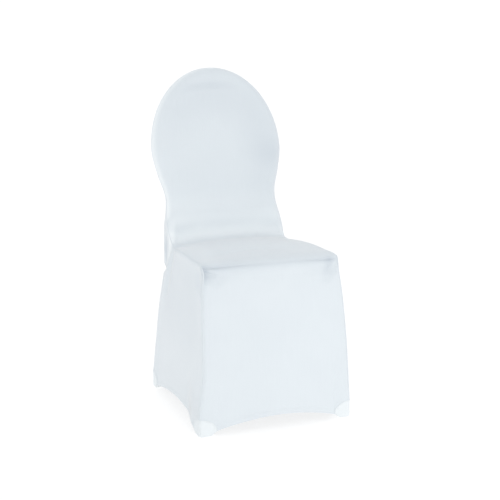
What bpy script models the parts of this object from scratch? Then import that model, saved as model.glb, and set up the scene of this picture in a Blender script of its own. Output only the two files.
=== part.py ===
"""Stretch cover for a round-backed banquet chair, standing as it is worn.

Metres, +Z up. The sitter faces -Y and X runs to the right as seen from the
front. The origin is on the floor, under the middle of the cover's box.

The cover is cut in four panels: a front panel in one length (front skirt,
seat and inside back), a rear panel, and a left and a right side panel. Four
foot pockets close the lower corners. Each piece is one thin closed solid.
"""
import math

import bmesh
import bpy
import numpy as np

# Cloth
THICK = 0.0020
SEAM_GAP = 0.00052

# Feet: the corner points of the four legs on the floor
FRONT_FOOT = (0.218, -0.2324)
REAR_FOOT = (0.204, 0.250)

# Seat
CORNER_X = 0.2025
CORNER_Y = -0.1820
SEAT_Z = 0.4574
ROLL = 0.020
ROLL_EDGE = 0.004
SIDE_RISE = 0.003
CROWN_FRONT = 0.002
CROWN_REAR = 0.018
FRONT_BULGE = 0.008

# Where seat, back and skirt meet on each side
JOIN_X = 0.1780
JOIN_Y = 0.140
JOIN_Z = 0.4450
JOIN = np.array([JOIN_X, JOIN_Y, JOIN_Z])
JOIN_EASE = 2.0

# Front corner seam, half way down
KNEE = (0.2134, -0.2110, 0.25)

# Rear corner seam below the join
NOTCH = (0.182, 0.192, 0.36)
HIP = (0.1925, 0.212, 0.27)

# Back: a waisted board with a round top, leaning to the rear
TILT = math.radians(13.6)
BACK_Y = 0.167
TOP_Z = 0.9560
WAIST = (0.1742, 0.1525)
WIDE = (0.2038, 0.2840)
PAD = 0.0240
RIM_ROUND = 0.030
POST_OUT = 0.013
POST_ROUND = ((0.048, 0.010), (0.20, 0.016), (0.36, 0.030))

# Rear face between the posts, from the hem up to the board: height, depth
REAR_LINE = (
    (0.048, 0.2530),
    (0.200, 0.2440),
    (0.360, 0.2370),
    (0.445, 0.2335),
    (0.520, 0.2315),
    (0.600, 0.2335),
)
BOARD_FROM = 0.680

# Hems and foot pockets
ARCH_FRONT = 0.036
ARCH_SIDE = 0.038
POCKET_WIDE = 0.046
POCKET_HIGH = 0.048
POCKET_BACK = 0.027
SOLE_SHARE = 0.62
# How far each sole's middle lies from its corner: the front left one was sewn on askew
SOLE_MIDDLE = 0.0150
SOLE_MIDDLE_ASKEW = 0.0162
EDGE_ROUND = (0.0030, 0.010)
HEM_FADE = 0.16

# Grid steps: shares of the pocket's width, then even steps to the middle
POCKET_STEPS = (0.0, 0.08, 0.2, 0.42, 0.72, 1.0)
MIDDLE_STEPS = 4
ROLL_ROWS = 5
SKIRT_ROWS = 9
BACK_ROWS = (0.0, 0.08, 0.17, 0.27, 0.37, 0.47, 0.57, 0.67, 0.77, 0.85, 0.91, 0.952, 0.980, 0.992, 1.0)

# Folds: the panel, both ends in world points, half width, height (a trough is minus)
FOLDS = (
    {"panel": "front", "start": (-0.190, -0.186, 0.430), "end": (0.190, -0.186, 0.428), "half": 0.024, "height": -0.0030},
    {"panel": "front", "start": (-0.196, -0.182, 0.434), "end": (-0.165, -0.190, 0.420), "half": 0.026, "height": -0.0045},
    {"panel": "front", "start": (0.196, -0.182, 0.434), "end": (0.160, -0.192, 0.405), "half": 0.026, "height": -0.0035},
    {"panel": "side", "start": (0.200, -0.150, 0.420), "end": (0.202, -0.172, 0.398), "half": 0.030, "height": -0.0034},
    {"panel": "side", "start": (0.180, 0.120, 0.430), "end": (0.192, 0.150, 0.330), "half": 0.035, "height": -0.0045},
)

CLOTH_COLOUR = (0.83, 0.86, 0.90, 1.0)
POCKET_COLOUR = (0.87, 0.90, 0.93, 1.0)


def unit(v):
    """Vectors of length one."""
    return v / np.maximum(np.linalg.norm(v, axis=-1, keepdims=True), 1e-12)


def travelled(points):
    """Distance along a row of points, from its start."""
    steps = np.linalg.norm(np.diff(points, axis=0), axis=1)
    return np.concatenate([[0.0], np.cumsum(steps)])


def mirrored(points):
    """The same points on the other side of the middle."""
    return points * np.array([-1.0, 1.0, 1.0])


def smoothstep(x, low, high):
    """0 below low, 1 above high, and a soft turn between them."""
    q = np.clip((x - low) / (high - low), 0.0, 1.0)
    return q * q * (3.0 - 2.0 * q)


def hump(x, centre, half):
    """A soft hump of height 1 around centre."""
    q = np.clip(np.abs(x - centre) / half, 0.0, 1.0)
    return (1.0 + np.cos(np.pi * q)) / 2.0


def quarter_round(distance, radius):
    """Rise of a quarter circle: 0 at its edge, 1 from radius on."""
    q = np.clip(distance / radius, 0.0, 1.0)
    return np.sqrt(np.maximum(0.0, 1.0 - (1.0 - q) ** 2))


def smooth_path(knots, count):
    """A smooth curve through the knots, as count points."""
    knots = np.asarray(knots, float)
    along = travelled(knots)
    slope = np.gradient(knots, along, axis=0, edge_order=1)
    t = np.linspace(0.0, along[-1], count)
    i = np.clip(np.searchsorted(along, t, side="right") - 1, 0, len(along) - 2)
    width = (along[i + 1] - along[i])[:, None]
    s = (t - along[i])[:, None] / width
    start = (2 * s**3 - 3 * s**2 + 1) * knots[i] + (s**3 - 2 * s**2 + s) * width * slope[i]
    finish = (3 * s**2 - 2 * s**3) * knots[i + 1] + (s**3 - s**2) * width * slope[i + 1]
    return start + finish


def spaced(points, shares):
    """Points at the given shares of a curve's length."""
    along = travelled(points)
    at = np.asarray(shares) * along[-1]
    return np.stack([np.interp(at, along, points[:, k]) for k in range(3)], axis=1)


def patch(left, right, bottom, top):
    """A surface stretched between four edges, as rows from bottom to top."""
    up = (travelled(left) / travelled(left)[-1] + travelled(right) / travelled(right)[-1]) / 2
    low = travelled(bottom) / travelled(bottom)[-1]
    high = travelled(top) / travelled(top)[-1]
    v = up[:, None, None]
    u = ((1 - up[:, None]) * low[None] + up[:, None] * high[None])[..., None]
    sides = (1 - u) * left[:, None] + u * right[:, None]
    ends = (1 - v) * bottom[None] + v * top[None]
    corners = (1 - v) * ((1 - u) * bottom[0] + u * bottom[-1]) + v * ((1 - u) * top[0] + u * top[-1])
    return sides + ends - corners


def face_normals(grid):
    """Normal of each cell, scaled by its area, towards the patch's outer side."""
    across = grid[:-1, 1:] - grid[1:, :-1]
    along = grid[1:, 1:] - grid[:-1, :-1]
    return np.cross(across, along)


def grid_normals(grid):
    """Unit normal at each point of one grid."""
    cells = face_normals(grid)
    total = np.zeros(grid.shape)
    total[:-1, :-1] += cells
    total[1:, :-1] += cells
    total[:-1, 1:] += cells
    total[1:, 1:] += cells
    return unit(total)


def half_steps(half):
    """Distances from a corner to the middle of a panel that is half wide."""
    pocket = POCKET_WIDE * np.array(POCKET_STEPS)
    rest = np.linspace(POCKET_WIDE, half, MIDDLE_STEPS + 1)[1:]
    return np.concatenate([pocket, rest])


def across_steps(half):
    """Places across a panel, -1 to 1, close together near its corners."""
    one = half_steps(half) / half - 1.0
    return np.concatenate([one, -one[-2::-1]])


def hem_height(distance, half, arch):
    """Height of a skirt's lower edge at a distance from its corner.

    It arches up between the feet, and curves over the foot pocket.
    """
    free = arch * (1 - (1 - distance / half) ** 2)
    at_pocket = arch * (1 - (1 - POCKET_WIDE / half) ** 2)
    q = np.clip(distance / POCKET_WIDE, 0.0, 1.0)
    over = at_pocket + (POCKET_HIGH - at_pocket) * np.sqrt(1 - q**2)
    return np.where(distance < POCKET_WIDE - 1e-9, over, free)


def seat_and_corner_seams():
    """Left seam: from the join along the seat's side, and down the front corner."""
    join = np.array([-JOIN_X, JOIN_Y, JOIN_Z])
    middle = np.array([-(JOIN_X + CORNER_X) / 2 - 0.006, (JOIN_Y + CORNER_Y) / 2, SEAT_Z + SIDE_RISE])
    shoulder = np.array([-CORNER_X + 0.003, CORNER_Y + 0.085, SEAT_Z + 0.002])
    before = np.array([-CORNER_X + 0.001, CORNER_Y + ROLL, SEAT_Z])
    knots = [join, 0.6 * join + 0.4 * middle + np.array([0, 0, 0.003]), middle, shoulder, before]
    for degrees in (25, 50, 75):
        a = math.radians(degrees)
        turn = (-CORNER_X + 0.002 * (1 - math.cos(a)), CORNER_Y + ROLL * (1 - math.sin(a)), SEAT_Z - ROLL * (1 - math.cos(a)))
        knots.append(np.array(turn))
    knots.append(np.array([-CORNER_X, CORNER_Y - 0.002, SEAT_Z - ROLL - 0.018]))
    knots.append(np.array([-CORNER_X - 0.0045, CORNER_Y - 0.010, SEAT_Z - ROLL - 0.065]))
    knots.append(np.array([-KNEE[0], KNEE[1], KNEE[2]]))
    knots.append(np.array([-FRONT_FOOT[0], FRONT_FOOT[1], POCKET_HIGH]))
    whole = smooth_path(knots, 800)
    split = np.argmin(np.linalg.norm(whole - knots[5], axis=1))
    return whole[: split + 1], whole[split:]


def rear_corner_seam():
    """Left seam from the join down the rear corner to the foot pocket."""
    hip = np.array([-HIP[0], HIP[1], HIP[2]])
    foot = np.array([-REAR_FOOT[0], REAR_FOOT[1], POCKET_HIGH])
    knots = [(-JOIN_X, JOIN_Y, JOIN_Z), (-NOTCH[0], NOTCH[1], NOTCH[2]), hip, (hip + foot) / 2 - [0.001, 0, 0], foot]
    return smooth_path(knots, 400)


BACK_UP = np.array([0.0, math.sin(TILT), math.cos(TILT)])
BACK_OUT = np.array([0.0, math.cos(TILT), -math.sin(TILT)])
BACK_BASE = np.array([0.0, BACK_Y, JOIN_Z])


def rim_seam():
    """Left half of the seam round the back's rim, from the join to the top."""
    top = (TOP_Z - JOIN_Z) / math.cos(TILT)
    rise = top - WIDE[1]
    width_a = 0.45 * WAIST[0] + 0.55 * WIDE[0]
    height_a = 0.52 * WAIST[1] + 0.48 * WIDE[1] - 0.005
    outline = [(JOIN_X, 0.0), (JOIN_X + 0.003, 0.05), WAIST, (width_a, height_a)]
    for k in range(11):
        a = math.radians(9 * k)
        outline.append((WIDE[0] * math.cos(a), WIDE[1] + rise * math.sin(a)))
    flat = smooth_path([(-x, h, 0.0) for x, h in outline], 600)
    depth = (JOIN_Y - BACK_Y) * (1 - smoothstep(flat[:, 1], 0.0, 0.12))
    seam = BACK_BASE + flat[:, 1:2] * BACK_UP + depth[:, None] * BACK_OUT
    seam[:, 0] = flat[:, 0]
    seam[0] = (-JOIN_X, JOIN_Y, JOIN_Z)
    seam[-1, 0] = 0.0
    return seam


def rim_distance(grid, rim):
    """Shortest distance from each point of a grid to the whole rim seam."""
    both = np.concatenate([rim[::6], rim[-1:], mirrored(rim[::-6])])
    near = np.full(grid.shape[:2], 9.0)
    for start, end in zip(both[:-1], both[1:]):
        edge = end - start
        share = np.clip(((grid - start) @ edge) / max(edge @ edge, 1e-12), 0.0, 1.0)
        near = np.minimum(near, np.linalg.norm(grid - start - share[..., None] * edge, axis=-1))
    near[:, 0] = near[:, -1] = near[-1] = 0.0
    return near


def rear_depth(seam):
    """How far the rear face stands behind its seam, and the lean of that step."""
    z = seam[:, 2]
    lean = TILT * smoothstep(z, JOIN_Z, BOARD_FROM)
    board = BACK_Y + (BOARD_FROM - JOIN_Z) * math.tan(TILT) + PAD / math.cos(TILT)
    line = smooth_path([(0.0, y, h) for h, y in REAR_LINE] + [(0.0, board, BOARD_FROM)], 200)
    face = np.interp(z, line[:, 2], line[:, 1])
    free = np.maximum((face - seam[:, 1]) / np.cos(lean), EDGE_ROUND[0])
    return np.where(z > BOARD_FROM, PAD, free), lean


def side_distance(grid):
    """Distance along each row from the nearer end of the row."""
    steps = np.linalg.norm(np.diff(grid, axis=1), axis=2)
    along = np.concatenate([np.zeros((len(grid), 1)), np.cumsum(steps, axis=1)], axis=1)
    return np.minimum(along, along[:, -1:] - along)


def settle_hem(grid, along):
    """Let the hem's arch die out a little above the hem instead of at the top."""
    arch = grid[0, :, 2] - np.interp(np.arange(grid.shape[1]), [0, grid.shape[1] - 1], [grid[0, 0, 2], grid[0, -1, 2]])
    kept = np.clip(1 - along / HEM_FADE, 0, 1)
    grid[..., 2] += arch[None, :] * (kept - (1 - along / along[-1]))[:, None]


def pressed(grid, panel):
    """The grid with its folds: soft troughs and ridges along short lines."""
    normals = grid_normals(grid)
    for fold in FOLDS:
        if fold["panel"] != panel:
            continue
        start = np.array(fold["start"])
        edge = np.array(fold["end"]) - start
        share = np.clip(((grid - start) @ edge) / (edge @ edge), 0.0, 1.0)
        away = np.linalg.norm(grid - start - share[..., None] * edge, axis=-1)
        inner = side_distance(grid) > 1e-6
        grid = grid + normals * (fold["height"] * hump(away, 0.0, fold["half"]) * inner)[..., None]
    return grid


def outer_surfaces():
    """The outer face of each panel, as a grid of points, rows from bottom to top."""
    u = across_steps(FRONT_FOOT[0])
    count = len(u)
    half_side = (REAR_FOOT[1] - FRONT_FOOT[1]) / 2
    u_side = across_steps(half_side)
    middle = (REAR_FOOT[1] + FRONT_FOOT[1]) / 2
    seat_seam, corner_seam = seat_and_corner_seams()
    rear_seam = rear_corner_seam()
    rim = rim_seam()

    down = np.concatenate([np.linspace(0, 0.16, ROLL_ROWS + 1), np.linspace(0.16, 1, SKIRT_ROWS + 1)[1:]])
    seat_edge = spaced(seat_seam, (u_side + 1) / 2)
    corner_edge = spaced(corner_seam, down)[::-1]
    rear_edge = spaced(rear_seam, down)[::-1]
    shoulder = 0.68
    flank = spaced(rim, shoulder * np.array(BACK_ROWS))
    crown_left = spaced(rim, np.interp(u[: count // 2 + 1], [-1, 0], [shoulder, 1]))
    crown = np.concatenate([crown_left, mirrored(crown_left[-2::-1])])

    def hem(half, y, arch):
        return np.stack([half * u, np.full(count, y), hem_height(half * (1 - np.abs(u)), half, arch)], axis=1)

    front_hem = hem(FRONT_FOOT[0], FRONT_FOOT[1], ARCH_FRONT)
    rear_hem = hem(REAR_FOOT[0], REAR_FOOT[1], ARCH_FRONT)
    side_hem_x = -np.interp(u_side, [-1, 1], [REAR_FOOT[0], FRONT_FOOT[0]])
    side_hem_z = hem_height(half_side * (1 - np.abs(u_side)), half_side, ARCH_SIDE)
    side_hem = np.stack([side_hem_x, middle - half_side * u_side, side_hem_z], axis=1)

    lift = CROWN_REAR * (1 - np.abs(u) ** 2.2)
    junction = np.stack([u * JOIN_X, JOIN_Y + 0.004 * (1 - u**2), JOIN_Z + lift], axis=1)

    # Front skirt and seat, from the front hem up over the roll to the junction
    left = np.concatenate([corner_edge, seat_edge[-2::-1]])
    seat = patch(left, mirrored(left), front_hem, junction)
    along = travelled(left)
    turn = along[len(corner_edge) - 1]
    share = along / along[-1]
    to_rear = np.clip((along - turn) / (along[-1] - turn), 0, 1)
    crown_top = CROWN_FRONT + (CROWN_REAR - CROWN_FRONT) * to_rear
    crown_low = CROWN_FRONT * smoothstep(along, turn - 0.07, turn)
    wanted = np.where(along >= turn, crown_top, crown_low)
    domed = (1 - np.abs(u) ** 2.2)[None, :]
    seat[..., 2] += (wanted - share * CROWN_REAR)[:, None] * domed
    settle_hem(seat, along)
    seat[..., 1] -= FRONT_BULGE * hump(along, turn - 0.03, 0.12)[:, None] * domed
    firm = ROLL_EDGE * hump(along, turn - 0.007, 0.022)[:, None] * domed
    seat = seat + firm[..., None] * np.array([0.0, -0.7, 0.7])
    seat = seat + grid_normals(seat) * (EDGE_ROUND[0] * quarter_round(side_distance(seat), EDGE_ROUND[1]))[..., None]

    # Inside back, from the junction to the rim: a pad with a rounded border
    inside = patch(flank, mirrored(flank), junction, crown)
    height = (inside - BACK_BASE) @ BACK_UP
    depth = PAD * smoothstep(height, 0.0, 0.10) * quarter_round(rim_distance(inside, rim), RIM_ROUND)
    inside = inside - depth[..., None] * BACK_OUT
    front = pressed(np.concatenate([seat, inside[1:]]), "front")

    # Rear panel, from the rear hem up round the posts to the rim
    left = np.concatenate([rear_edge, flank[1:]])
    rear = patch(left, mirrored(left), rear_hem, crown)
    settle_hem(rear, travelled(left))
    z = left[:, 2]
    depth, lean = rear_depth(left)
    radius = np.interp(z, *np.transpose(POST_ROUND))
    low = (z < JOIN_Z - 1e-6)[:, None]
    away = np.where(low, side_distance(rear), rim_distance(rear, rim))
    backwards = np.stack([np.zeros(len(z)), np.cos(lean), -np.sin(lean)], axis=1)
    rear = rear + (depth[:, None] * quarter_round(away, radius[:, None]))[..., None] * backwards[:, None]
    out = np.interp(z, [0.30, NOTCH[2], JOIN_Z, JOIN_Z + 0.13], [0, 0.004, POST_OUT, 0])
    rear[..., 0] += np.sign(rear[..., 0]) * out[:, None] * hump(away, 0.022, 0.022)
    rear = rear[:, ::-1]

    # Left side panel, from its hem up to the seat's side seam, rear to front
    side = patch(rear_edge, corner_edge, side_hem, seat_edge)
    settle_hem(side, travelled(corner_edge))
    sill = np.minimum(side_distance(side), np.linalg.norm(side - side[-1][None], axis=2))
    side = side + grid_normals(side) * (EDGE_ROUND[0] * quarter_round(sill, EDGE_ROUND[1]))[..., None]
    side[-1] = seat_edge
    left_side = mirrored(pressed(mirrored(side)[:, ::-1], "side"))[:, ::-1]
    right_side = mirrored(left_side)[:, ::-1]
    return {"front_panel": front, "rear_panel": rear, "side_panel_left": left_side, "side_panel_right": right_side}


def pocket_surface(face, flank, middle):
    """Outer face of one foot pocket, as rings from the sole up to its rim.

    face and flank are the hem points of the two panels that meet at its foot,
    each from the corner outwards, as far as the pocket is wide. middle is how
    far along both of them the sole's middle lies from the corner.
    """
    corner = face[0]
    along_face = unit((face[-1] - corner) * [1, 1, 0])
    along_flank = unit((flank[-1] - corner) * [1, 1, 0])
    outside = np.concatenate([flank[::-1], face[1:]])
    a_end = (face[-1] - corner) @ along_face
    b_end = (flank[-1] - corner) @ along_flank
    ring = [(p, (p - corner) @ along_face, (p - corner) @ along_flank) for p in outside]
    for k in range(1, 8):
        t = math.radians(90 * k / 8)
        a = a_end * math.cos(t) ** 0.75
        b = b_end * math.sin(t) ** 0.75
        rim = (1 - k / 8) * face[-1][2] + k / 8 * flank[-1][2]
        rim = rim + (POCKET_BACK - rim) * math.sin(2 * t) ** 2
        p = corner + along_face * a + along_flank * b
        ring.append((np.array([p[0], p[1], rim]), a, b))
    rows = []
    for share, tuck in ((0.0, 0.86), (0.04, 0.96), (0.12, 1.0), (0.35, 1.0), (0.7, 1.0), (1.0, 1.0)):
        row = []
        for p, a, b in ring:
            z = share * p[2]
            spread = min(z / min(face[-1][2], flank[-1][2]), 1.0)
            shrink = (1 - SOLE_SHARE) * (1 - spread)
            move = -along_face * a * (a / a_end) * shrink - along_flank * b * (b / b_end) * shrink
            centre = corner + (along_face + along_flank) * middle
            point = centre + (p + move - centre) * tuck
            row.append((point[0], point[1], z))
        rows.append(row)
    return np.array(rows)


def shared_normals(grids):
    """Normals at each grid's points, averaged over all the grids that meet there."""
    total = {}
    keys = {}
    for name, grid in grids.items():
        cells = face_normals(grid)
        names = [[tuple(np.round(p, 6)) for p in row] for row in grid]
        keys[name] = names
        for i in range(cells.shape[0]):
            for j in range(cells.shape[1]):
                for key in (names[i][j], names[i + 1][j], names[i][j + 1], names[i + 1][j + 1]):
                    total[key] = total.get(key, 0) + cells[i, j]
    return {name: unit(np.array([[total[key] for key in row] for row in names])) for name, names in keys.items()}


def drawn_back(grid, normals):
    """The grid with each border point moved in by half a seam gap.

    Three panels meet at the join, so the gap opens a little towards it.
    """
    moved = grid.copy()
    for axis in (0, 1):
        rows = grid if axis == 0 else grid.transpose(1, 0, 2)
        tops = normals if axis == 0 else normals.transpose(1, 0, 2)
        target = moved if axis == 0 else moved.transpose(1, 0, 2)
        for edge, inner in ((0, 1), (-1, -2)):
            tangent = unit(np.gradient(rows[edge], axis=0))
            inward = rows[inner] - rows[edge]
            inward = inward - (inward * tops[edge]).sum(1, keepdims=True) * tops[edge]
            inward = inward - (inward * tangent).sum(1, keepdims=True) * tangent
            from_join = np.minimum(
                np.linalg.norm(rows[edge] - JOIN, axis=1),
                np.linalg.norm(rows[edge] - mirrored(JOIN), axis=1),
            )
            pull = SEAM_GAP / 2 * (1 + JOIN_EASE * hump(from_join, 0.0, 0.09))
            target[edge] += unit(inward) * pull[:, None]
    return moved


def material(name, colour):
    """Plain matt cloth."""
    made = bpy.data.materials.new(name)
    made.use_nodes = True
    shader = made.node_tree.nodes["Principled BSDF"]
    shader.inputs["Base Color"].default_value = colour
    shader.inputs["Roughness"].default_value = 0.75
    shader.inputs["Metallic"].default_value = 0.0
    return made


def finish(name, bm, look):
    """Turn a closed shape's faces out and put it in the scene as one object."""
    bmesh.ops.recalc_face_normals(bm, faces=bm.faces[:])
    mesh = bpy.data.meshes.new(name)
    bm.to_mesh(mesh)
    bm.free()
    mesh.shade_smooth()
    mesh.set_sharp_from_angle(angle=math.radians(50))
    mesh.materials.append(look)
    made = bpy.data.objects.new(name, mesh)
    bpy.context.scene.collection.objects.link(made)
    return made


def panel_solid(name, outer, normals, look):
    """One panel: a flat grid shaped to the outer face, then extruded inwards."""
    rows, columns = outer.shape[:2]
    bm = bmesh.new()
    bmesh.ops.create_grid(bm, x_segments=columns - 1, y_segments=rows - 1, size=1.0)
    place = bm.verts.layers.int.new("place")
    bm.verts.ensure_lookup_table()
    points = outer.reshape(-1, 3)
    for index, vert in enumerate(bm.verts):
        vert[place] = index
        vert.co = points[index]
    made = bmesh.ops.extrude_face_region(bm, geom=bm.faces[:])
    inner = (outer - normals * THICK).reshape(-1, 3)
    for item in made["geom"]:
        if isinstance(item, bmesh.types.BMVert):
            item.co = inner[item[place]]
    return finish(name, bm, look)


def pocket_solid(name, outer, normals, look):
    """One foot pocket: a sole, a wall up the outside and one down the inside."""
    count = outer.shape[1]
    inner = outer - normals * THICK * np.array([1, 1, 0])
    inner[0, :, 2] = THICK
    inner[1:, :, 2] = np.maximum(outer[1:, :, 2], THICK * 1.2)
    floor = inner[0]
    rings = [outer[k] for k in range(len(outer))] + [inner[k] for k in range(len(inner) - 1, 2, -1)] + [floor]
    bm = bmesh.new()
    bmesh.ops.create_circle(bm, cap_ends=True, segments=count, radius=1.0)
    place = bm.verts.layers.int.new("place")
    bm.verts.ensure_lookup_table()
    for index, vert in enumerate(bm.verts):
        vert[place] = index
        vert.co = rings[0][index]
    edges = bm.edges[:]
    for ring in rings[1:]:
        made = bmesh.ops.extrude_edge_only(bm, edges=edges)
        for item in made["geom"]:
            if isinstance(item, bmesh.types.BMVert):
                item.co = ring[item[place]]
        edges = [item for item in made["geom"] if isinstance(item, bmesh.types.BMEdge)]
    bmesh.ops.contextual_create(bm, geom=edges)
    return finish(name, bm, look)


def main():
    """Clear the scene and build the cover."""
    for old in list(bpy.data.objects):
        bpy.data.objects.remove(old, do_unlink=True)

    cloth = material("cover_cloth", CLOTH_COLOUR)
    doubled = material("pocket_cloth", POCKET_COLOUR)
    panels = outer_surfaces()
    wide = len(POCKET_STEPS)
    front, rear = panels["front_panel"][0], panels["rear_panel"][0]
    left, right = panels["side_panel_left"][0], panels["side_panel_right"][0]
    corners = {
        "foot_pocket_front_left": (front[:wide], left[::-1][:wide]),
        "foot_pocket_front_right": (right[:wide], front[::-1][:wide]),
        "foot_pocket_rear_right": (rear[:wide], right[::-1][:wide]),
        "foot_pocket_rear_left": (left[:wide], rear[::-1][:wide]),
    }
    middles = dict.fromkeys(corners, SOLE_MIDDLE)
    middles["foot_pocket_front_left"] = SOLE_MIDDLE_ASKEW
    pockets = {name: pocket_surface(*edges, middles[name]) for name, edges in corners.items()}

    points = np.concatenate([grid.reshape(-1, 3) for grid in panels.values()])
    centre = np.array([0.0, (points[:, 1].min() + points[:, 1].max()) / 2, 0.0])
    open_rings = {name: np.concatenate([grid, grid[:, :1]], axis=1) for name, grid in pockets.items()}
    normals = shared_normals({**panels, **open_rings})

    for name, grid in panels.items():
        shaped = drawn_back(grid, normals[name]) - centre
        panel_solid(name, shaped, normals[name], cloth)
    for name, grid in pockets.items():
        ring_normals = normals[name][:, :-1]
        rim_down = grid.copy()
        rim_down[-1, :, 2] -= SEAM_GAP
        pocket_solid(name, rim_down - centre, ring_normals, doubled)


main()
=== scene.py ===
# %% [markdown]
# # A stretch cover for a round-backed banquet chair
#
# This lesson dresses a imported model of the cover. The model gives one plain
# solid for each piece of cloth: a front panel cut in one length, a rear panel,
# two side panels and four foot pockets. Here each solid gives way to a thin
# sheet of knitted stretch cloth with its creases, seams, hems and stitches.

# %% Load the frame
import math

import bpy
import numpy as np
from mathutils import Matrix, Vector


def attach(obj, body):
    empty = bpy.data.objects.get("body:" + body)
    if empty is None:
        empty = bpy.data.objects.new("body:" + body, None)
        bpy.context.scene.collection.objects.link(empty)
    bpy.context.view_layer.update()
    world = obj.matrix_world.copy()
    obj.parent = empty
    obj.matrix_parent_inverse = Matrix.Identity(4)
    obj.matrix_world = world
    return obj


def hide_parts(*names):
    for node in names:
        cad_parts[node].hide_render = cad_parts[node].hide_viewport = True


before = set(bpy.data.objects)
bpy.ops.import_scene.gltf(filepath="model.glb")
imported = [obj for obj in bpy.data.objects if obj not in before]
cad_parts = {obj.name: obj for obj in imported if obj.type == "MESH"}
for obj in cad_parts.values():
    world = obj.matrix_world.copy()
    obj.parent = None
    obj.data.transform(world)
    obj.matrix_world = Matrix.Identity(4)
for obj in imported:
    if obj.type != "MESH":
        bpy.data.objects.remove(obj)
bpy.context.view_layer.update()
print("nodes:", sorted(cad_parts))

# %% [markdown]
# ## Sizes
#
# Sizes are in metres, and only the listed lines are in millimetres. The
# numbers are those of the solids, so that each sheet lies on its own solid. The
# cover narrows from the feet to the seat. Its back is a waisted board with a
# round top that leans a little to the rear.

# %% Sizes of the cover
FRONT_FOOT = (0.218, -0.2324)
REAR_FOOT = (0.204, 0.250)

CORNER_X = 0.2025
CORNER_Y = -0.1820
SEAT_Z = 0.4574
ROLL = 0.020
ROLL_EDGE = 0.004
SIDE_RISE = 0.003
CROWN_FRONT = 0.002
CROWN_REAR = 0.018
CROWN_POWER = 2.2
FRONT_BULGE = 0.008

JOIN = np.array([0.1780, 0.140, 0.4450])
JOIN_BOW = 0.004
KNEE = (0.2134, -0.2110, 0.25)
NOTCH = (0.182, 0.192, 0.36)
HIP = (0.1925, 0.212, 0.27)

TILT = math.radians(13.6)
BACK_Y = 0.167
TOP_Z = 0.9560
WAIST = (0.1742, 0.1525)
WIDE = (0.2038, 0.2840)
PAD = 0.0240
RIM_ROUND = 0.030
POST_OUT = 0.013
POST_ROUND = ((0.048, 0.010), (0.20, 0.016), (0.36, 0.030))
REAR_LINE = (
    (0.048, 0.2530), (0.200, 0.2440), (0.360, 0.2370),
    (0.445, 0.2335), (0.520, 0.2315), (0.600, 0.2335),
)
BOARD_FROM = 0.680

ARCH_FRONT = 0.036
ARCH_SIDE = 0.038
POCKET_WIDE = 0.046
POCKET_HIGH = 0.048
POCKET_BACK = 0.027
SOLE_SHARE = 0.62
EDGE_ROUND = (0.0030, 0.010)
HEM_FADE = 0.16

SHEET = 0.0008
MM = 0.001

# %% [markdown]
# ## Helpers for curves and surfaces
#
# Stretch cloth runs almost straight from one thing that holds it to the next.
# So each panel is worked out as a surface stretched between its four seams,
# and small steps are then added to it: rounded edges, the crown of the seat,
# folds and puckers. These helpers are the few rules that all panels share.

# %% Curves and soft steps
def unit(v):
    """Vectors of length one."""
    return v / np.maximum(np.linalg.norm(v, axis=-1, keepdims=True), 1e-12)


def travelled(points, axis=0):
    """Distance from the start of a row of points, or up each column or along each row of a grid."""
    steps = np.linalg.norm(np.diff(points, axis=axis), axis=-1)
    start = np.zeros_like(np.take(steps, [0], axis=axis))
    return np.concatenate([start, np.cumsum(steps, axis=axis)], axis=axis)


def points_at(distances, along, points):
    """The points where a row has travelled the given distances."""
    return np.stack([np.interp(distances, along, points[:, k]) for k in range(3)], axis=1)


def mirrored(points):
    """The same points on the other side of the middle."""
    return points * np.array([-1.0, 1.0, 1.0])


def smoothstep(x, low, high):
    """0 below low, 1 above high, and a soft turn between them."""
    q = np.clip((x - low) / (high - low), 0.0, 1.0)
    return q * q * (3.0 - 2.0 * q)


def hump(x, centre, half):
    """A soft hump of height 1 around centre."""
    q = np.clip(np.abs(x - centre) / half, 0.0, 1.0)
    return (1.0 + np.cos(np.pi * q)) / 2.0


def quarter_round(distance, radius):
    """Rise of a quarter circle: 0 at its edge, 1 from radius on."""
    q = np.clip(distance / radius, 0.0, 1.0)
    return np.sqrt(np.maximum(0.0, 1.0 - (1.0 - q) ** 2))


def smooth_path(knots, count):
    """A smooth curve through the knots, as count points."""
    knots = np.asarray(knots, float)
    along = travelled(knots)
    slope = np.gradient(knots, along, axis=0, edge_order=1)
    t = np.linspace(0.0, along[-1], count)
    i = np.clip(np.searchsorted(along, t, side="right") - 1, 0, len(along) - 2)
    width = (along[i + 1] - along[i])[:, None]
    s = (t - along[i])[:, None] / width
    start = (2 * s**3 - 3 * s**2 + 1) * knots[i] + (s**3 - 2 * s**2 + s) * width * slope[i]
    finish = (3 * s**2 - 2 * s**3) * knots[i + 1] + (s**3 - s**2) * width * slope[i + 1]
    return start + finish


def spaced(points, shares):
    """Points at the given shares of a curve's length."""
    along = travelled(points)
    return points_at(np.asarray(shares) * along[-1], along, points)


# %% Surfaces
def patch(left, right, bottom, top):
    """A surface stretched between four edges, as rows from bottom to top."""
    up = (travelled(left) / travelled(left)[-1] + travelled(right) / travelled(right)[-1]) / 2
    low = travelled(bottom) / travelled(bottom)[-1]
    high = travelled(top) / travelled(top)[-1]
    v = up[:, None, None]
    u = ((1 - up[:, None]) * low[None] + up[:, None] * high[None])[..., None]
    sides = (1 - u) * left[:, None] + u * right[:, None]
    ends = (1 - v) * bottom[None] + v * top[None]
    corners = (1 - v) * ((1 - u) * bottom[0] + u * bottom[-1]) + v * ((1 - u) * top[0] + u * top[-1])
    return sides + ends - corners


def grid_normals(grid):
    """Unit normal at each point of a grid, towards its outer side."""
    across = np.gradient(grid, axis=1)
    up = np.gradient(grid, axis=0)
    return unit(np.cross(across, up))


def side_distance(grid):
    """Distance along each row from the nearer end of the row."""
    along = travelled(grid, axis=1)
    return np.minimum(along, along[:, -1:] - along)


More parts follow.
